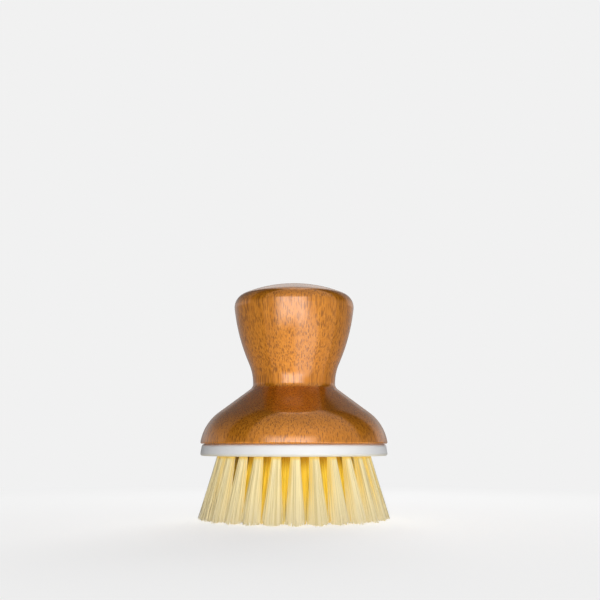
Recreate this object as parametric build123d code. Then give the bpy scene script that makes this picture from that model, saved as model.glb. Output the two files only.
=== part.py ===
"""Palm dish brush: a turned bamboo knob screwed to a round white plate that carries rings of bristle tufts.

The brush stands on its bristle tips. Z is up along the brush's axis, and the origin is the middle of
the trimmed tips. Sizes are millimetres and angles are degrees.
"""

from build123d import *
import math
import os
import random

# Turned handle, with heights up from the seam where it meets the plate
rim_radius = 38.1
rim_lean = 6.2
rim_edge_round = 0.6
rim_arc_radius = 18.0
neck_fillet_radius = 2.8
neck_radius = 16.9
neck_height = 24.3
waist_arc_radius = 21.3
knob_side_radius = 25.3
knob_side_height = 64.3
knob_corner_radius = 5.9
knob_cap_radius = 54.8
knob_height = 65.75

# White plate under the handle
plate_thickness = 4.8
plate_setback = 0.75
plate_side_draft = 0.8
plate_top_round = 1.5
plate_bottom_round = 0.9
hub_radius = 11.0
hub_height = 3.0
hub_edge_round = 0.5
peg_radius = 2.4
peg_height = 3.5
peg_circle_radius = 24.0
peg_count = 2

# Room between the plate's hub and pegs and their seats in the bamboo
hub_side_clearance = 0.15
hub_end_clearance = 0.2
peg_side_clearance = 0.1
peg_end_clearance = 0.3

# Tuft holes and the rings that they stand on
ring_count = 4
ring_pitch = 7.75
outer_ring_inset = 8.55
tuft_pitch = 7.15
front_tuft_angle = -88.7
tuft_hole_radius = 1.95
tuft_hole_depth = 4.0
tuft_side_clearance = 0.05
tuft_end_clearance = 0.05

# Slice of the plate that joins the tufts of one ring
band_half_width = 1.2
band_thickness = 1.0
band_side_clearance = 0.05

# Flat wire anchors across the folded roots of the tufts
anchor_thickness = 0.35
anchor_width = 1.6
anchor_bite = 0.3
anchor_end_gap = 0.6

# Bristles
bristle_height = 25.3
outer_splay = 13.2
strand_counts = (8, 7, 7, 7)
strand_root_width = 0.85
strand_tip_width = 1.5
strand_root_ring_radius = 1.4
strand_tip_ring_radius = 2.8
strand_embed = 0.3
trim_rise = 0.9
trim_jitter = 0.4
trim_flat_depth = 0.5
trim_seed = 11

# Self-tapping screw up through the hub
screw_head_radius = 3.5
screw_head_height = 2.2
screw_head_round = 1.1
screw_head_edge_round = 0.2
screw_length = 19.0
screw_shank_radius = 2.0
screw_core_radius = 1.35
screw_thread_pitch = 1.8
screw_point_length = 3.0
cross_slot_width = 1.1
cross_slot_depth = 1.4
cross_slot_radius = 2.0
screw_head_side_clearance = 0.4
screw_head_sink = 2.6
screw_hole_clearance = 0.15
thread_clearance = 0.03
screw_point_clearance = 0.8

# Tools run past the faces that they cut by this much
overrun = 1.0

# Heights and radii that the sizes above give
seam_z = bristle_height + plate_thickness
top_z = seam_z + knob_height
plate_top_radius = rim_radius - plate_setback
plate_bottom_radius = plate_top_radius + plate_side_draft
outer_ring_radius = plate_bottom_radius - outer_ring_inset
ring_radii = [outer_ring_radius - ring_pitch * ring for ring in range(ring_count)]
tuft_counts = [max(round(2 * math.pi * radius / tuft_pitch), 1) for radius in ring_radii]
screw_seat_z = bristle_height + screw_head_sink


def place(radius, height):
    """A point of a turned outline."""
    return Vector(radius, 0, height)


def arc(centre, start, end):
    """The shorter arc about a centre from start to end."""
    size = (start - centre).length
    middle = centre + ((start - centre) + (end - centre)).normalized() * size
    return ThreePointArc(start, middle, end)


def turned(edges):
    """The solid that an outline's edges sweep round the axis."""
    return revolve(Face(Wire(edges)), Axis.Z, 360)


def rounded_outline(corners):
    """Edges of a closed outline through (radius, height, rounding) corners."""
    places = [place(radius, height) for radius, height, rounding in corners]
    joins = []
    for index, (radius, height, rounding) in enumerate(corners):
        here = places[index]
        back = (places[index - 1] - here).normalized()
        ahead = (places[(index + 1) % len(places)] - here).normalized()
        if rounding == 0:
            joins.append((here, None, here))
            continue
        half = math.radians(back.get_angle(ahead)) / 2
        reach = rounding / math.tan(half)
        centre = here + (back + ahead).normalized() * (rounding / math.sin(half))
        joins.append((here + back * reach, centre, here + ahead * reach))
    edges = []
    for index, (start, centre, end) in enumerate(joins):
        if centre is not None:
            edges.append(arc(centre, start, end))
        edges.append(Line(end, joins[(index + 1) % len(joins)][0]))
    return edges


def circles_meet(first, first_size, second, second_size):
    """The meeting point of two circles that lies further from the axis."""
    span = second - first
    gap = span.length
    along = (first_size**2 - second_size**2 + gap**2) / (2 * gap)
    aside = math.sqrt(first_size**2 - along**2)
    foot = first + span.normalized() * along
    across = Vector(span.Z, 0, -span.X).normalized() * aside
    return max((foot + across, foot - across), key=lambda point: point.X)


def handle_outline():
    """Half of the handle's lengthwise section: rim, dome, neck, flared side and domed top."""
    seam = place(0, seam_z)
    neck = place(neck_radius, seam_z + neck_height)
    fillet_centre = place(neck_radius + neck_fillet_radius, seam_z + neck_height)

    # The rim arc leans in where it reaches the seam, and a small arc rounds the edge there
    lean_in = math.radians(rim_lean)
    rim_centre = place(rim_radius, seam_z) - place(math.cos(lean_in), math.sin(lean_in)) * rim_arc_radius
    edge_rise = seam_z + rim_edge_round - rim_centre.Z
    edge_reach = math.sqrt((rim_arc_radius - rim_edge_round) ** 2 - edge_rise**2)
    edge_centre = rim_centre + place(edge_reach, edge_rise)
    edge_foot = place(edge_centre.X, seam_z)
    rim_start = rim_centre + (edge_centre - rim_centre).normalized() * rim_arc_radius

    # The dome's straight flank touches the rim arc from outside and the neck fillet from inside
    span = fillet_centre - rim_centre
    lean = math.atan2(span.Z, span.X) - math.acos((rim_arc_radius + neck_fillet_radius) / span.length)
    facing = place(math.cos(lean), math.sin(lean))
    flank_low = rim_centre + facing * rim_arc_radius
    flank_high = fillet_centre - facing * neck_fillet_radius

    # The flared side is two arcs that pass into each other between the neck and the knob
    rise = knob_side_height - neck_height
    turn = 2 * math.atan((knob_side_radius - neck_radius) / rise)
    side_arc_radius = rise / math.sin(turn) - waist_arc_radius
    waist_centre = place(neck_radius + waist_arc_radius, seam_z + neck_height)
    bend = waist_centre + place(-math.cos(turn), math.sin(turn)) * waist_arc_radius
    side_centre = place(knob_side_radius - side_arc_radius, seam_z + knob_side_height)

    # The knob's corner arc touches the side arc and the cap arc
    cap_centre = place(0, top_z - knob_cap_radius)
    corner_centre = circles_meet(
        side_centre,
        side_arc_radius - knob_corner_radius,
        cap_centre,
        knob_cap_radius - knob_corner_radius,
    )
    corner_low = corner_centre + (corner_centre - side_centre).normalized() * knob_corner_radius
    corner_high = corner_centre + (corner_centre - cap_centre).normalized() * knob_corner_radius
    apex = place(0, top_z)
    return [
        Line(seam, edge_foot),
        arc(edge_centre, edge_foot, rim_start),
        arc(rim_centre, rim_start, flank_low),
        Line(flank_low, flank_high),
        arc(fillet_centre, flank_high, neck),
        arc(waist_centre, neck, bend),
        arc(side_centre, bend, corner_low),
        arc(corner_centre, corner_low, corner_high),
        arc(cap_centre, corner_high, apex),
        Line(apex, seam),
    ]


def disc(radius, low, high):
    """An upright cylinder on the axis between two heights."""
    return Pos(0, 0, low) * Cylinder(radius, high - low, align=(Align.CENTER, Align.CENTER, Align.MIN))


def around(shape, circle_radius, count):
    """Copies of a shape spaced evenly on a circle about the axis, the first one on +X."""
    return [Rot(0, 0, 360 * index / count) * Pos(circle_radius, 0, 0) * shape for index in range(count)]


def screw_outline(growth):
    """Half section of the screw's shank, thread and point, made larger all round by growth."""
    shank_end = seam_z + hub_height
    tip = screw_seat_z + screw_length
    turns = int((tip - screw_point_length - shank_end) / screw_thread_pitch)
    points = [place(0, screw_seat_z), place(screw_shank_radius + growth, screw_seat_z)]
    points.append(place(screw_shank_radius + growth, shank_end))
    for turn in range(turns):
        foot = shank_end + screw_thread_pitch * turn
        points.append(place(screw_core_radius + growth, foot + screw_thread_pitch / 2))
        points.append(place(screw_shank_radius + growth, foot + screw_thread_pitch))
    points.append(place(screw_core_radius + growth, tip - screw_point_length))
    points.append(place(0, tip + growth))
    return [Line(start, end) for start, end in zip(points, points[1:] + points[:1])]


def make_handle():
    """The turned bamboo handle, bored for the plate's hub and pegs and for the screw's thread."""
    body = turned(handle_outline())
    recess = disc(
        hub_radius + hub_side_clearance,
        seam_z - overrun,
        seam_z + hub_height + hub_end_clearance,
    )
    peg_hole = disc(
        peg_radius + peg_side_clearance,
        seam_z - overrun,
        seam_z + peg_height + peg_end_clearance,
    )
    thread = turned(screw_outline(thread_clearance))
    relief_z = screw_seat_z + screw_length - screw_point_length
    relief = disc(screw_core_radius, relief_z, screw_seat_z + screw_length + screw_point_clearance)
    return body - [recess, *around(peg_hole, peg_circle_radius, peg_count), thread, relief]


def tuft_frame(ring, index):
    """Where a tuft stands on its ring: X points out from the axis."""
    angle = front_tuft_angle + 360 * (index + ring / 2) / tuft_counts[ring]
    return Rot(0, 0, angle) * Pos(ring_radii[ring], 0, 0)


def anchor():
    """One flat wire anchor, as it lies across a tuft hole on the axis."""
    length = 2 * (tuft_hole_radius + anchor_bite)
    middle_z = bristle_height + tuft_hole_depth - anchor_end_gap - anchor_width / 2
    return Pos(0, 0, middle_z) * Box(anchor_thickness, length, anchor_width)


def make_anchors():
    """Every anchor in its place, ring by ring."""
    return [
        tuft_frame(ring, index) * anchor()
        for ring in range(ring_count)
        for index in range(tuft_counts[ring])
    ]


def make_plate(anchors):
    """The white plate with its hub, pegs, tuft holes, screw hole and anchor slots."""
    hub_top_z = seam_z + hub_height
    body = turned(
        rounded_outline(
            [
                (0, bristle_height, 0),
                (plate_bottom_radius, bristle_height, plate_bottom_round),
                (plate_top_radius, seam_z, plate_top_round),
                (hub_radius, seam_z, 0),
                (hub_radius, hub_top_z, hub_edge_round),
                (0, hub_top_z, 0),
            ]
        )
    )
    peg = disc(peg_radius, seam_z - overrun, seam_z + peg_height)
    body = body + around(peg, peg_circle_radius, peg_count)
    tools = [
        disc(screw_shank_radius + screw_hole_clearance, bristle_height, hub_top_z + overrun),
        disc(screw_head_radius + screw_head_side_clearance, bristle_height - overrun, screw_seat_z),
    ]
    hole = disc(tuft_hole_radius, bristle_height - overrun, bristle_height + tuft_hole_depth)
    for ring, radius in enumerate(ring_radii):
        half = band_half_width + band_side_clearance
        groove_top_z = bristle_height + band_thickness
        groove = disc(radius + half, bristle_height - overrun, groove_top_z)
        tools.append(groove - disc(radius - half, bristle_height - 2 * overrun, groove_top_z + overrun))
        tools.extend(tuft_frame(ring, index) * hole for index in range(tuft_counts[ring]))
    return body - [*tools, *anchors]


def strand(root, tip, facing):
    """A four-sided bristle, level at both ends, that widens from its root square to its tip square."""
    squares = []
    for centre, width in ((root, strand_root_width), (tip, strand_tip_width)):
        corner = Vector(width / 2, width / 2, 0)
        squares.append([centre + corner.rotate(Axis.Z, facing + 90 * quarter) for quarter in range(4)])
    top, bottom = squares
    outlines = [top, bottom[::-1]]
    for here in range(4):
        there = (here + 1) % 4
        outlines.append([bottom[here], bottom[there], top[there], top[here]])
    return Solid(Shell([Face(Wire.make_polygon(outline, close=True)) for outline in outlines]))


def tuft_strands(ring, jitter):
    """The bristles of one tuft in its own frame: one in the middle and the rest fanned out round it."""
    radius = ring_radii[ring]
    splay = outer_splay * radius / outer_ring_radius
    lean = bristle_height * math.tan(math.radians(splay))
    reach = outer_ring_radius + bristle_height * math.tan(math.radians(outer_splay))
    outer_count = strand_counts[ring] - 1
    spots = [(Vector(0, 0, 0), 0)]
    for index in range(outer_count):
        facing = 360 * index / outer_count
        spots.append((Vector(1, 0, 0).rotate(Axis.Z, facing), facing))
    strands = []
    for spot, facing in spots:
        high = spot * strand_root_ring_radius + Vector(0, 0, bristle_height)
        low = spot * strand_tip_ring_radius + Vector(lean, 0, 0)
        uneven = jitter.uniform(-trim_jitter, trim_jitter) - trim_flat_depth
        tip_z = max(trim_rise * ((radius + low.X) / reach) ** 2 + uneven, 0)
        per_mm = (high - low) / bristle_height
        strands.append(strand(high + per_mm * strand_embed, low + per_mm * tip_z, facing))
    return strands


def make_tuft_ring(ring, jitter):
    """One ring of tufts: their folded roots and bristles, joined by a slice of the plate."""
    radius = ring_radii[ring]
    band = disc(radius + band_half_width, bristle_height, bristle_height + band_thickness)
    band = band - disc(radius - band_half_width, bristle_height - overrun, seam_z)
    root = disc(
        tuft_hole_radius - tuft_side_clearance,
        bristle_height,
        bristle_height + tuft_hole_depth - tuft_end_clearance,
    )
    root = root - anchor()
    pieces = []
    for index in range(tuft_counts[ring]):
        frame = tuft_frame(ring, index)
        pieces.append(frame * root)
        pieces.extend(frame * piece for piece in tuft_strands(ring, jitter))
    return band + pieces


def make_screw():
    """The self-tapping screw, with a rounded head and a cross slot that faces down."""
    head = turned(
        rounded_outline(
            [
                (0, screw_seat_z, 0),
                (0, screw_seat_z - screw_head_height, 0),
                (screw_head_radius, screw_seat_z - screw_head_height, screw_head_round),
                (screw_head_radius, screw_seat_z, screw_head_edge_round),
            ]
        )
    )
    slot_z = screw_seat_z - screw_head_height - overrun
    slot_height = cross_slot_depth + overrun
    low = (Align.CENTER, Align.CENTER, Align.MIN)
    slots = [
        Pos(0, 0, slot_z) * Box(2 * cross_slot_radius, cross_slot_width, slot_height, align=low),
        Pos(0, 0, slot_z) * Box(cross_slot_width, 2 * cross_slot_radius, slot_height, align=low),
    ]
    return head + turned(screw_outline(0)) - slots


def main():
    """Writes one STEP file for each sub-part."""
    anchors = make_anchors()
    jitter = random.Random(trim_seed)
    ring_names = ("outer_tufts", "second_tufts", "third_tufts", "inner_tufts")
    nodes = {
        "bamboo_handle": make_handle(),
        "brush_plate": make_plate(anchors),
        "tuft_anchors": Compound(children=anchors),
        "fixing_screw": make_screw(),
    }
    for ring, name in enumerate(ring_names):
        nodes[name] = make_tuft_ring(ring, jitter)
    os.makedirs("parts", exist_ok=True)
    for name, shape in nodes.items():
        export_step(shape, f"parts/{name}.step")
        print(name, "solids", len(shape.solids()), "volume", round(shape.volume, 1))


main()
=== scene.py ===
"""Dish brush in a small studio: a lacquered bamboo knob, a white plate and tufts of fine bristles.

Lengths are metres in the model's frame: Z runs up the brush and the origin lies among the bristle tips.
Angles are radians, apart from those of the lamps. A span is a pair of limits. A colour is linear red,
green and blue from 0 to 1, with its alpha.
"""

import math
import random

import bpy
from mathutils import Matrix, Vector


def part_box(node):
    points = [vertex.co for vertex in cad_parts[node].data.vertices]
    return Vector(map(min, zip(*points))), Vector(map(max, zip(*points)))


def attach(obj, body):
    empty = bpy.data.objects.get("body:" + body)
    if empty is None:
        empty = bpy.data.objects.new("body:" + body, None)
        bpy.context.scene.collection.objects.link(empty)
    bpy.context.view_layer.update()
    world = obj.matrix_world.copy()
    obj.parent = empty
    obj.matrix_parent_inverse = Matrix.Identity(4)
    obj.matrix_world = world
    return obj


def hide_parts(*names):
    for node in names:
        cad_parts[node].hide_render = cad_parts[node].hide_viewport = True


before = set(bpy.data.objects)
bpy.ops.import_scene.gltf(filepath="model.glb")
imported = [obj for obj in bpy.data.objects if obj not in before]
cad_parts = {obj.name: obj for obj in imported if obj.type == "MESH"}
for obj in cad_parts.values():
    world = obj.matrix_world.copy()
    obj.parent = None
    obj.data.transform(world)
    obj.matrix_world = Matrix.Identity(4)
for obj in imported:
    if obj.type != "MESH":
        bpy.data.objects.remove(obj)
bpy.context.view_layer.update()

millimetre = 0.001
knob_height_share = 0.75
seam_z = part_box("bamboo_handle")[0].z
underside_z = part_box("brush_plate")[0].z
knob_z = seam_z + knob_height_share * (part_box("bamboo_handle")[1].z - seam_z)

# Camera, fitted to the photograph's outline of the brush. Its sensor is counted in millimetres.
frame_pixels = 600
focal_pixels = 918.7
camera_distance = 380 * millimetre
camera_side = 2.45 * millimetre
camera_tilt = math.radians(8.89)
camera_sensor = 36.0
camera_near_limit = 10 * millimetre

# Rings of tufts, from the outermost inwards
tuft_counts = (26, 19, 12, 6)
filament_counts = (150, 130, 100, 80)
outer_ring_radius = 29.6 * millimetre
ring_pitch = 7.75 * millimetre
front_tuft_angle = math.radians(-88.7)

# Skin of the plate's underside between the tufts of a ring
tuft_hole_radius = 1.95 * millimetre
skin_half_width = 1.25 * millimetre
skin_thickness = 1.0 * millimetre
skin_steps = 8

# Filaments, from their roots in the plate to their tips. A bundle's radii run outwards and sideways.
outer_splay = math.radians(13.2)
filament_radius = 0.15 * millimetre
filament_sides = 3
filament_steps = 5
root_depth = 0.6 * millimetre
root_bundle_radii = (1.35 * millimetre, 1.8 * millimetre)
tip_bundle_radii = (3.1 * millimetre, 3.8 * millimetre)
golden_turn = math.pi * (3 - math.sqrt(5))
turn_scatter = 0.4
tip_scatter = 0.3 * millimetre
bow_scatter = 0.12 * millimetre
bristle_seed = 5

# What the trim takes off a filament at the brush's edge, at the tuft's flanks and by chance
edge_trim = 0.1 * millimetre
flank_trim = 0.8 * millimetre
chance_trim = 1.6 * millimetre
chance_trim_power = 1.5

# How far a filament's corners and its place in the tuft turn its shading from the tuft's outward face,
# and how far to one side of the tuft's middle its palest filaments stand, where the painted light falls and
# the painted flank shade is least
corner_shading = 1.4
bundle_shading = 0.6
lit_middle_share = 0.15

# Bamboo: strips side by side, whose fibres run up the handle with a slight sway
strip_width = 6.2 * millimetre
sway_width = 0.9 * millimetre
thick_fibres_per_metre = 1800.0
fine_fibres_per_metre = 2700.0
streaks_per_metre = 1500.0
clouds_per_metre = 70.0
sways_per_metre = 60.0
fibre_depth = 0.03 * millimetre
lacquer_ripple = 0.02 * millimetre
lacquer_index = 1.39

# Plastic and metal. A painted shade lies on the plate's lower edge, tinted yellow like light bounced from
# the bristles: its heights start from the underside.
plastic_clouds_per_metre = 90.0
plastic_grains_per_metre = 2600.0
plastic_grain_depth = 0.01 * millimetre
plastic_glow_depth = 1.0 * millimetre
edge_shade_end_height = 1.4 * millimetre
edge_shade_full_height = 0.1 * millimetre
edge_shade_start_radius = 36.4 * millimetre
edge_shade_full_radius = 37.2 * millimetre
metal_scratches_per_metre = 900.0
metal_wear_depth = 0.005 * millimetre
worn_tone_share = 0.8

# Studio: how bright its parts show, where 1 is white, and the direction of its low light
white = (1.0, 1.0, 1.0, 1)
backdrop_tone = 0.88
ambient_light = 0.09
front_glow = 0.92
flank_glow = 0.40
high_flank_glow = 0.03
key_glow = 7.4
low_glow = 2.6
satin_share = 0.08
low_light_direction = (0.404, -0.794, -0.454)

# Floor: the grey that other light meets, the tones that the camera sees, and where they fade out
floor_bounce = 0.45
floor_shading = 0.60
floor_lift = 0.645
floor_fade_span = (0.10, 0.30)
floor_half_width = 3.0

# Lamps, which all stand as far from the seam between handle and plate
lamp_distance = 0.9
front_lamp_size = (0.18, 0.14)
side_lamp_size = (0.4, 0.4)
back_lamp_size = (0.6, 0.6)
overhead_lamp_size = (0.9, 0.9)


def grey(tone):
    """A colour without a hue."""
    return (tone, tone, tone, 1)


class Graph:
    """The nodes of one material or world, made and joined a node at a time."""

    def __init__(self, owner, output_kind="OutputMaterial"):
        self.owner = owner
        owner.use_nodes = True
        owner.node_tree.nodes.clear()
        self.surface = self.add(output_kind).inputs["Surface"]

    def add(self, kind, values=None, **settings):
        """A new node, with its inputs set to values or joined to other nodes' sockets."""
        node = self.owner.node_tree.nodes.new("ShaderNode" + kind)
        for name, value in settings.items():
            setattr(node, name, value)
        for key, value in (values or {}).items():
            if isinstance(value, bpy.types.NodeSocket):
                self.owner.node_tree.links.new(value, node.inputs[key])
            else:
                node.inputs[key].default_value = value
        return node

    def position(self):
        """A point's place in the model's frame, in metres."""
        return self.add("TexCoord").outputs["Object"]

    def scaled(self, vector, scale):
        """The vector times a scale along each axis."""
        return self.add("Mapping", {"Vector": vector, "Scale": scale}).outputs["Vector"]

    def drawn_out(self, place, height_scale):
        """A place with its height scaled. Less height draws a pattern out upwards, and more flattens it."""
        return self.scaled(place, (1, 1, height_scale))

    def parts(self, vector):
        """The vector's shares along the three axes."""
        return self.add("SeparateXYZ", {"Vector": vector}).outputs

    def noise(self, vector, scale, detail, roughness=0.5):
        """Soft noise from 0 to 1."""
        values = {"Vector": vector, "Scale": scale, "Detail": detail, "Roughness": roughness}
        return self.add("TexNoise", values).outputs["Fac"]

    def cells(self, vector, scale, randomness):
        """A pattern of cells: outputs for the distance to a cell's middle and for the cell's colour."""
        return self.add("TexVoronoi", {"Vector": vector, "Scale": scale, "Randomness": randomness}).outputs

    def math(self, operation, first, second=0.0, third=0.0):
        """One sum on up to three values or sockets."""
        return self.add("Math", {0: first, 1: second, 2: third}, operation=operation).outputs[0]

    def times(self, product, *others):
        """The product of two or more values."""
        for other in others:
            product = self.math("MULTIPLY", product, other)
        return product

    def line(self, value, slope, offset):
        """The value times a slope plus an offset."""
        return self.math("MULTIPLY_ADD", value, slope, offset)

    def vector(self, operation, first, second=(0.0, 0.0, 0.0), result="Vector"):
        """One sum on up to two vectors. A length or a dot product is the result called Value."""
        return self.add("VectorMath", {0: first, 1: second}, operation=operation).outputs[result]

    def between(self, value, span, onto=(0.0, 1.0)):
        """The value's way through a span, eased and carried over to another span."""
        limits = {"From Min": span[0], "From Max": span[1], "To Min": onto[0], "To Max": onto[1]}
        node = self.add("MapRange", {"Value": value, **limits}, interpolation_type="SMOOTHSTEP")
        return node.outputs["Result"]

    def band(self, value, span, softness):
        """One where the value lies within a span, easing to nothing past its soft ends."""
        low, high = span
        rising = self.between(value, (low - softness / 2, low + softness / 2))
        falling = self.between(value, (high + softness / 2, high - softness / 2))
        return self.times(rising, falling)

    def mix(self, share, first, second):
        """A blend of two colours, whose sockets go by number, because the node's names repeat."""
        return self.add("Mix", {0: share, 6: first, 7: second}, data_type="RGBA").outputs[2]

    def bump(self, height, distance, strength=1.0):
        """A surface normal that follows a height."""
        values = {"Height": height, "Distance": distance, "Strength": strength}
        return self.add("Bump", values).outputs["Normal"]

    def matt(self, tone):
        """A matt grey shader."""
        return self.add("BsdfDiffuse", {"Color": grey(tone)}).outputs[0]

    def glowing(self, strength):
        """A shader that gives off white light."""
        return self.add("Emission", {"Color": white, "Strength": strength}).outputs[0]

    def blend(self, share, first, second):
        """A blend of two shaders."""
        return self.add("MixShader", {0: share, 1: first, 2: second}).outputs[0]

    def end(self, shader):
        """Ends the nodes in a shader and hands over the material or world."""
        self.owner.node_tree.links.new(shader, self.surface)
        return self.owner

    def finish(self, values):
        """Ends the material in one principled shader."""
        return self.end(self.add("BsdfPrincipled", values).outputs["BSDF"])


def material_graph(name):
    """The nodes of a new material."""
    return Graph(bpy.data.materials.new(name))


def swaying(graph, place):
    """A point's place, moved a little from side to side on the way up, as the bamboo's fibres run."""
    slow = graph.drawn_out(place, height_scale=0.3)
    noise = graph.add("TexNoise", {"Vector": slow, "Scale": sways_per_metre, "Detail": 1.0})
    sway = graph.vector("SUBTRACT", noise.outputs["Color"], (0.5, 0.5, 0.5))
    return graph.vector("ADD", place, graph.vector("MULTIPLY", sway, (sway_width, sway_width, sway_width)))


def thick_fibres(graph, rods):
    """Dark rods that stand for bundles of fibres, each of its own thickness."""
    cells = graph.cells(rods, thick_fibres_per_metre, randomness=0.9)
    size = graph.add("SeparateColor", {"Color": cells["Color"]}).outputs[0]
    reach = graph.between(size, (0.0, 1.0), onto=(0.28, 0.46))
    return graph.between(graph.math("SUBTRACT", reach, cells["Distance"]), (-0.07, 0.09))


def fine_fibres(graph, rods):
    """Thin rods between the thick ones."""
    cells = graph.cells(rods, fine_fibres_per_metre, randomness=1.0)
    return graph.between(cells["Distance"], (0.42, 0.12))


def bamboo():
    """Clear lacquer over turned bamboo, whose fibre bundles run up the handle as dark rods."""
    deep_streak = (0.59, 0.200, 0.013, 1)
    pale_streak = (0.77, 0.285, 0.024, 1)
    cloud_colour = (0.48, 0.155, 0.009, 1)
    strip_colour = (0.50, 0.17, 0.010, 1)
    fine_fibre_colour = (0.34, 0.11, 0.008, 1)
    thick_fibre_colour = (0.25, 0.08, 0.006, 1)
    fine_fibre_share = 0.55
    thick_fibre_share = 0.9

    graph = material_graph("bamboo")
    place = graph.position()
    swayed = swaying(graph, place)
    rods = graph.drawn_out(swayed, height_scale=0.03)
    cloud = graph.noise(graph.drawn_out(place, height_scale=0.25), clouds_per_metre, detail=2.0)
    lengthwise = graph.drawn_out(place, height_scale=0.02)
    streak = graph.noise(lengthwise, streaks_per_metre, detail=3.0, roughness=0.6)

    # Each strip of bamboo has its own tone, and its thick fibres are darkest at its outer face
    strip = graph.parts(graph.scaled(swayed, (1 / strip_width, 1, 1)))["X"]
    dense = graph.between(graph.math("FRACT", strip), (0.0, 1.0), onto=(0.7, 1.0))
    strip_tone = graph.add("TexWhiteNoise", {"W": graph.math("FLOOR", strip)}, noise_dimensions="1D")
    strip_share = graph.between(strip_tone.outputs["Value"], (0.0, 1.0), onto=(0.0, 0.25))

    tone = graph.mix(graph.between(streak, (0.3, 0.7)), deep_streak, pale_streak)
    tone = graph.mix(graph.between(cloud, (0.35, 0.7), onto=(0.0, 0.4)), tone, cloud_colour)
    tone = graph.mix(strip_share, tone, strip_colour)
    tone = graph.mix(graph.times(fine_fibres(graph, rods), fine_fibre_share), tone, fine_fibre_colour)
    dark = graph.times(thick_fibres(graph, rods), dense, thick_fibre_share)
    tone = graph.mix(dark, tone, thick_fibre_colour)

    # Seen at a slant the lacquer is a hair rough, at points picked by chance, and it is weak at the very
    # outline, so that the lights don't glare there
    slant = graph.add("LayerWeight", {"Blend": 0.5}).outputs["Facing"]
    chance = graph.add("TexWhiteNoise", {"Vector": place}).outputs["Value"]
    dulled = graph.math("LESS_THAN", chance, graph.between(slant, (0.3, 0.6)))
    return graph.finish(
        {
            "Base Color": tone,
            "Metallic": 0.3,
            "Roughness": 0.17,
            "Specular IOR Level": 0.0,
            "Normal": graph.bump(dark, fibre_depth, strength=0.5),
            "Coat Weight": graph.between(slant, (0.75, 1.0), onto=(1.0, 0.25)),
            "Coat Roughness": graph.times(dulled, 0.05),
            "Coat IOR": lacquer_index,
            "Coat Normal": graph.bump(streak, lacquer_ripple, strength=0.25),
        }
    )


def white_plastic():
    """Satin white moulded plastic with a faint unevenness."""
    cool_white = (0.86, 0.87, 0.88, 1)
    plain_white = (0.90, 0.90, 0.90, 1)
    # Colour of the painted shade on the lower edge, yellowed like light bounced from the bristles
    edge_shade_colour = (0.60, 0.56, 0.45, 1)

    graph = material_graph("white_plastic")
    place = graph.position()
    cloud = graph.noise(place, plastic_clouds_per_metre, detail=2.0)
    grain = graph.noise(place, plastic_grains_per_metre, detail=2.0)
    tone = graph.mix(cloud, cool_white, plain_white)

    # Painted shade on the plate's rounded lower edge, tinted yellow like light bounced from the bristles
    height = graph.parts(place)["Z"]
    radius = graph.vector("LENGTH", graph.vector("MULTIPLY", place, (1, 1, 0)), result="Value")
    low = graph.between(height, (underside_z + edge_shade_end_height, underside_z + edge_shade_full_height))
    edge_shade = graph.times(low, graph.between(radius, (edge_shade_start_radius, edge_shade_full_radius)))
    return graph.finish(
        {
            "Base Color": graph.mix(edge_shade, tone, edge_shade_colour),
            "Roughness": graph.between(cloud, (0.3, 0.7), onto=(0.32, 0.42)),
            "Normal": graph.bump(grain, plastic_grain_depth, strength=0.6),
            "Subsurface Weight": 0.12,
            "Subsurface Radius": (1.0, 1.0, 1.0),
            "Subsurface Scale": plastic_glow_depth,
        }
    )


def bristle(name, tip, middle, flank_shade, shade, root, root_shade_start):
    """Filament with colours from tip to root, with painted shade at the tuft's flanks and its root, and one
    that darkens odd strands by chance.
    """
    graph = material_graph(name)
    along = graph.math("DIVIDE", graph.parts(graph.position())["Z"], underside_z)
    strand = graph.add("NewGeometry").outputs["Random Per Island"]
    flank_shade_place = graph.add("Attribute", attribute_name="flank_shade").outputs["Fac"]
    flank_shade_share = graph.between(along, (0.0, 0.8), onto=(0.15, 0.9))
    tone = graph.mix(graph.between(along, (0.0, 0.55)), tip, middle)
    # Painted shade: deeper yellow at the tuft's flanks, away from its lit middle, most towards the root
    tone = graph.mix(graph.times(graph.between(flank_shade_place, (0.4, 1.0)), flank_shade_share), tone, flank_shade)
    tone = graph.mix(graph.between(strand, (0.2, 1.0), onto=(0.0, 0.8)), tone, shade)
    # Painted shade of the plate over the filaments' roots
    tone = graph.mix(graph.between(along, (root_shade_start, 1.0)), tone, root)
    roughness = graph.between(strand, (0.0, 1.0), onto=(0.3, 0.45))
    return graph.finish({"Base Color": tone, "Roughness": roughness})


def bright_metal(name, colour):
    """Plated steel with fine wear in its polish."""
    graph = material_graph(name)
    flattened = graph.drawn_out(graph.position(), height_scale=4)
    wear = graph.noise(flattened, metal_scratches_per_metre, detail=4.0, roughness=0.6)
    worn_colour = tuple(worn_tone_share * part for part in colour[:3]) + (1,)
    return graph.finish(
        {
            "Base Color": graph.mix(wear, colour, worn_colour),
            "Metallic": 1.0,
            "Roughness": graph.between(wear, (0.3, 0.7), onto=(0.22, 0.4)),
            "Normal": graph.bump(wear, metal_wear_depth),
        }
    )


def paint(thing, material):
    """Gives every face of an object one material."""
    thing.data.materials.clear()
    thing.data.materials.append(material)


def new_mesh(name, points, faces, material):
    """A smooth-shaded mesh object of one material."""
    mesh = bpy.data.meshes.new(name)
    mesh.from_pydata(points, [], faces)
    mesh.shade_smooth()
    thing = bpy.data.objects.new(name, mesh)
    bpy.context.scene.collection.objects.link(thing)
    paint(thing, material)
    return thing


def ring_radius(ring):
    """The radius on which a ring's tufts stand."""
    return outer_ring_radius - ring * ring_pitch


def tuft_angle(ring, index):
    """The direction in which a tuft lies from the axis."""
    return front_tuft_angle + 2 * math.pi * (index + ring / 2) / tuft_counts[ring]


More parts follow.
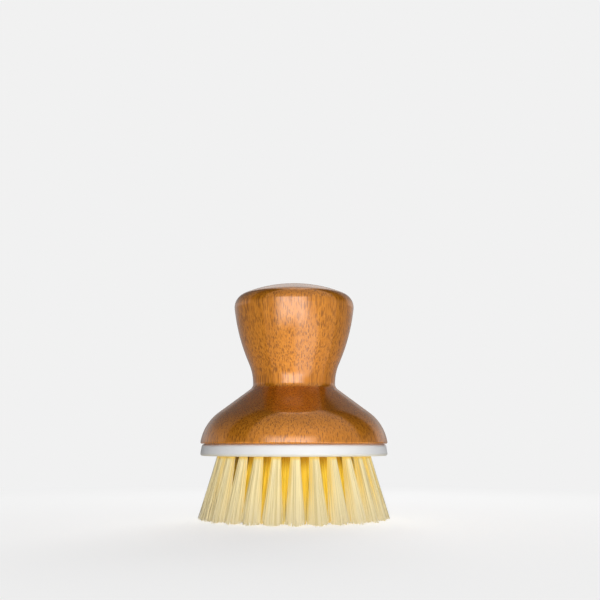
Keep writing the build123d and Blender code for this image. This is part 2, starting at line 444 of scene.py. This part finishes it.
def trimmed(tip, spot, chance):
    """How much the trim takes off a filament with this tip, by its spot in the tuft and by chance."""
    reach = outer_ring_radius + underside_z * math.tan(outer_splay)
    at_edge = edge_trim * (tip.xy.length / reach) ** 2
    return at_edge + flank_trim * spot.y**2 + chance_trim * chance**chance_trim_power


def filament_path(draw, radius, lean, spot):
    """Places along one filament, from root to tip, in a tuft on the X axis that leans outwards."""
    root = Vector((radius, 0, underside_z + root_depth)) + spot * Vector((*root_bundle_radii, 0))
    tip = Vector((radius + lean, 0, 0)) + spot * Vector((*tip_bundle_radii, 0))
    tip += Vector((draw.gauss(0, tip_scatter), draw.gauss(0, tip_scatter), 0))
    tip = root.lerp(tip, 1 - trimmed(tip, spot, draw.random()) / underside_z)
    bow = Vector((draw.gauss(0, bow_scatter), draw.gauss(0, bow_scatter), 0))
    ways = [step / filament_steps for step in range(filament_steps + 1)]
    return [root.lerp(tip, way) + bow * math.sin(math.pi * way) for way in ways]


def filament(points, normals, faces, path, turn, outward):
    """Adds one thin prism to a mesh's lists, shaded towards its own corners and its tuft's outward face."""
    start = len(points)
    corners = []
    for side in range(filament_sides):
        angle = turn + 2 * math.pi * side / filament_sides
        corners.append(Vector((math.cos(angle), math.sin(angle), 0)))
    for place in path:
        points.extend(place + corner * filament_radius for corner in corners)
        normals.extend((outward + corner * corner_shading).normalized() for corner in corners)
    for step in range(len(path) - 1):
        for side in range(filament_sides):
            here = start + step * filament_sides + side
            there = start + step * filament_sides + (side + 1) % filament_sides
            faces.append((here, here + filament_sides, there + filament_sides, there))
    last = len(points) - filament_sides
    faces.append(tuple(range(start, start + filament_sides)))
    faces.append(tuple(range(last + filament_sides - 1, last - 1, -1)))


def tuft_ring(name, ring, material):
    """Every filament of one ring of tufts, in one mesh that stands for that ring's node."""
    draw = random.Random(bristle_seed + ring)
    radius = ring_radius(ring)
    lean = underside_z * math.tan(outer_splay * radius / outer_ring_radius)
    count = filament_counts[ring]
    points, normals, faces, flank_shade_places = [], [], [], []
    for index in range(tuft_counts[ring]):
        turned = Matrix.Rotation(tuft_angle(ring, index), 4, "Z")
        for strand in range(count):
            angle = strand * golden_turn + draw.uniform(-turn_scatter, turn_scatter)
            spot = Vector((math.cos(angle), math.sin(angle), 0)) * math.sqrt((strand + 0.5) / count)
            path = [turned @ place for place in filament_path(draw, radius, lean, spot)]
            outward = turned @ (Vector((1, 0, 0)) + spot * bundle_shading).normalized()
            filament(points, normals, faces, path, draw.uniform(0, 2 * math.pi), outward)
            # How far each filament stands from its tuft's lit middle, which sets its painted flank shade
            flank_shade_places += [abs(spot.y - lit_middle_share)] * (len(points) - len(flank_shade_places))
    tufts = new_mesh(name, points, faces, material)
    tufts.data.normals_split_custom_set_from_vertices(normals)
    tufts.data.attributes.new("flank_shade", "FLOAT", "POINT").data.foreach_set("value", flank_shade_places)
    return tufts


def plate_skin(ring, material):
    """The plate's flat underside between the tufts of one ring."""
    radius = ring_radius(ring)
    inner, outer = radius - skin_half_width, radius + skin_half_width

    def mouth_angle(edge):
        """How far round the ring a tuft's hole reaches on a circle of this radius."""
        return math.acos((radius**2 + edge**2 - tuft_hole_radius**2) / (2 * radius * edge))

    points, faces = [], []
    for index in range(tuft_counts[ring]):
        start = tuft_angle(ring, index)
        end = start + 2 * math.pi / tuft_counts[ring]
        base = len(points)
        for row in range(skin_steps + 1):
            edge = inner + (outer - inner) * row / skin_steps
            low, high = start + mouth_angle(edge), end - mouth_angle(edge)
            for column in range(skin_steps + 1):
                angle = low + (high - low) * column / skin_steps
                points.append(Vector((edge * math.cos(angle), edge * math.sin(angle), underside_z)))
        for row in range(skin_steps):
            for column in range(skin_steps):
                corner = base + row * (skin_steps + 1) + column
                faces.append((corner, corner + 1, corner + skin_steps + 2, corner + skin_steps + 1))
    skin = new_mesh(f"plate_skin_{ring + 1}", points, faces, material)
    thick = skin.modifiers.new("thickness", "SOLIDIFY")
    thick.thickness = skin_thickness
    thick.offset = -1
    return skin


def make_bristles(plastic):
    """Fine tufts in place of the coarse ones, and the underside that their nodes carried."""
    names = ("outer_tufts", "second_tufts", "third_tufts", "inner_tufts")
    # The outer tufts carry painted shade at their flanks and, in a yellower tone, under the plate
    outer = bristle(
        "bristle_outer_painted_shade",
        tip=(0.68, 0.595, 0.385, 1),
        middle=(0.80, 0.70, 0.42, 1),
        flank_shade=(0.74, 0.50, 0.08, 1),
        shade=(0.54, 0.44, 0.21, 1),
        root=(0.74, 0.50, 0.08, 1),
        root_shade_start=0.93,
    )
    # The inner rings are painted a deeper, more saturated yellow, standing in for light scattered through
    # the clear filaments, and darker under the plate as painted shade
    inner = bristle(
        "bristle_inner_painted_light_and_shade",
        tip=(0.70, 0.57, 0.24, 1),
        middle=(0.88, 0.60, 0.06, 1),
        flank_shade=(0.72, 0.43, 0.025, 1),
        shade=(0.72, 0.43, 0.025, 1),
        root=(0.44, 0.21, 0.003, 1),
        root_shade_start=0.72,
    )
    for ring, node in enumerate(names):
        tufts = tuft_ring(node + "_filaments", ring, outer if ring == 0 else inner)

        # The outer tufts' clear filaments let light through to the inner ones
        tufts.visible_shadow = ring > 0
        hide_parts(node)
        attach(tufts, "root")
        skin = plate_skin(ring, plastic)
        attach(skin, "root")


def room_in_front(graph, side, back, up):
    """The bright room in front, which ends at a slanting edge on each side."""
    middle = 0.15
    left_edge = graph.line(side, slope=1.0, offset=0.36)
    right_edge = graph.line(side, slope=-0.52, offset=0.5)
    inside = graph.math("SUBTRACT", graph.math("MINIMUM", left_edge, right_edge), back)
    from_middle = graph.math("ABSOLUTE", graph.math("SUBTRACT", side, middle))
    sideways = graph.between(from_middle, (1.0, 0.0), onto=(0.45, 1.3))
    ceiling = graph.between(up, (0.95, 0.6), onto=(0.8, 1.35))
    rise = graph.between(up, (0.2, 0.42), onto=(0.80, 1.0))
    return graph.times(graph.between(inside, (-0.08, 0.08)), sideways, ceiling, rise)


def backdrop_behind(graph, side, back, up):
    """The backdrop behind the brush, brighter to the sides and high up in the middle."""
    away = graph.math("ABSOLUTE", side)
    sloping_edge = graph.line(side, slope=0.6, offset=0.62)
    middle_edge = graph.between(away, (0.10, 0.30), onto=(0.10, 0.56))
    inside = graph.math("SUBTRACT", back, graph.math("MINIMUM", sloping_edge, middle_edge))
    behind = graph.times(graph.between(inside, (-0.06, 0.06)), graph.between(up, (0.0, 0.16)))
    above = graph.times(graph.between(away, (0.30, 0.14)), graph.between(up, (0.2, 0.4)))
    sideways = graph.math("MULTIPLY_ADD", side, 0.12, graph.line(away, slope=0.50, offset=0.04))
    return graph.times(behind, graph.math("ADD", sideways, above))


def lights_in_polish(graph, direction, side, back, up):
    """A key light in front with soft edges, and a lower light to its right."""
    width = graph.band(side, (-0.50, 0.38), softness=0.36)
    height = graph.band(up, (-0.27, 0.46), softness=0.24)
    key = graph.times(width, height, graph.between(back, (0.0, -0.3)))
    towards_low = graph.vector("DOT_PRODUCT", direction, low_light_direction, result="Value")
    low = graph.between(towards_low, (0.88, 0.99))
    return graph.math("MULTIPLY_ADD", key, key_glow, graph.times(low, low_glow))


def studio_glow(graph, direction):
    """What glossy surfaces mirror in a direction: dark flanks, the room in front, a backdrop and lights."""
    side, back, up = graph.parts(direction)
    glow = graph.between(up, (0.10, 0.50), onto=(flank_glow, high_flank_glow))
    glow = graph.math("MULTIPLY_ADD", room_in_front(graph, side, back, up), front_glow, glow)
    glow = graph.math("ADD", backdrop_behind(graph, side, back, up), glow)

    # The lights show in the polish, and the satin grain under it spreads most of them out of sight
    polish = graph.add("LightPath").outputs["Is Singular Ray"]
    share = graph.between(polish, (0.0, 1.0), onto=(satin_share, 1.0))
    return graph.math("MULTIPLY_ADD", lights_in_polish(graph, direction, side, back, up), share, glow)


def make_floor():
    """A pale floor that shows the brush's shadow and fades into the pale surroundings."""
    graph = material_graph("floor")
    place = graph.position()
    path = graph.add("LightPath").outputs

    # A glossy ray meets what the studio shows past the floor, and any other light a grey floor
    direction = graph.vector("NORMALIZE", graph.vector("SUBTRACT", place, (0, 0, knob_z)))
    mirrored = graph.glowing(studio_glow(graph, direction))
    bounced = graph.blend(path["Is Glossy Ray"], graph.matt(floor_bounce), mirrored)

    # The camera sees the lit floor near the brush and the backdrop's tone further off
    near = graph.add("AddShader", {0: graph.matt(floor_shading), 1: graph.glowing(floor_lift)}).outputs[0]
    distance = graph.vector("LENGTH", place, result="Value")
    shown = graph.blend(graph.between(distance, floor_fade_span), near, graph.glowing(backdrop_tone))

    # From below the floor is clear, so that the underside can be looked at
    below = graph.add("NewGeometry").outputs["Backfacing"]
    shown = graph.blend(below, shown, graph.add("BsdfTransparent").outputs[0])
    material = graph.end(graph.blend(path["Is Camera Ray"], bounced, shown))

    half = floor_half_width
    corners = [(-half, -half, 0), (half, -half, 0), (half, half, 0), (-half, half, 0)]
    floor = new_mesh("floor", corners, [(0, 1, 2, 3)], material)
    floor.visible_shadow = False


def make_world():
    """A pale backdrop for the eye, dim light from all round, and a studio for polish to mirror."""
    world = bpy.data.worlds.new("studio")
    bpy.context.scene.world = world
    graph = Graph(world, "OutputWorld")
    path = graph.add("LightPath").outputs
    glow = studio_glow(graph, graph.add("TexCoord").outputs["Generated"])
    shown = graph.add("Background", {"Color": grey(backdrop_tone)}).outputs[0]
    mirrored = graph.add("Background", {"Color": white, "Strength": glow}).outputs[0]
    lighting = graph.add("Background", {"Color": white, "Strength": ambient_light}).outputs[0]
    gloss = graph.blend(path["Is Glossy Ray"], lighting, mirrored)
    graph.end(graph.blend(path["Is Camera Ray"], gloss, shown))


def softbox(name, azimuth, elevation, size, power):
    """A lamp that faces the brush, unseen by the camera and in polish.

    Azimuth and elevation are degrees. Azimuth 0 is the camera's side, and it turns to the camera's right.
    """
    data = bpy.data.lights.new(name, "AREA")
    data.shape = "RECTANGLE"
    data.size, data.size_y = size
    data.energy = power
    lamp = bpy.data.objects.new(name, data)
    bpy.context.scene.collection.objects.link(lamp)
    lamp.visible_camera = False
    lamp.visible_glossy = False
    turn, lift = math.radians(azimuth), math.radians(elevation)
    away = Vector((math.sin(turn) * math.cos(lift), -math.cos(turn) * math.cos(lift), math.sin(lift)))
    lamp.location = Vector((0, 0, seam_z)) + away * lamp_distance
    lamp.rotation_euler = away.to_track_quat("Z", "Y").to_euler()


def make_lights():
    """Two lamps in front, of which the floor lets the low one through, and soft ones all round."""
    softbox("low_front_lamp", azimuth=4, elevation=-27, size=front_lamp_size, power=7.1)
    softbox("front_lamp", azimuth=6, elevation=10, size=front_lamp_size, power=0.9)
    softbox("left_softbox", azimuth=-80, elevation=-8, size=side_lamp_size, power=0.65)
    softbox("right_softbox", azimuth=80, elevation=-8, size=side_lamp_size, power=1.4)
    softbox("overhead_softbox", azimuth=0, elevation=84, size=overhead_lamp_size, power=0.5)
    softbox("back_softbox", azimuth=170, elevation=25, size=back_lamp_size, power=5.0)


def make_camera():
    """The photograph's view: level with the seam and tilted up a little."""
    data = bpy.data.cameras.new("camera")
    data.sensor_width = camera_sensor
    data.lens = camera_sensor * focal_pixels / frame_pixels
    data.clip_start = camera_near_limit
    camera = bpy.data.objects.new("camera", data)
    bpy.context.scene.collection.objects.link(camera)
    camera.location = (camera_side, -camera_distance, seam_z)
    camera.rotation_euler = (math.pi / 2 + camera_tilt, 0, 0)
    bpy.context.scene.camera = camera


def main():
    """Dresses the model and sets the studio up round it."""
    plastic = white_plastic()
    paint(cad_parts["bamboo_handle"], bamboo())
    paint(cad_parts["brush_plate"], plastic)
    paint(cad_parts["fixing_screw"], bright_metal("screw_steel", (0.66, 0.67, 0.68, 1)))
    paint(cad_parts["tuft_anchors"], bright_metal("anchor_wire", (0.62, 0.60, 0.56, 1)))
    make_bristles(plastic)
    make_floor()
    make_world()
    make_lights()
    make_camera()
    bpy.context.scene.view_settings.view_transform = "Standard"


main()
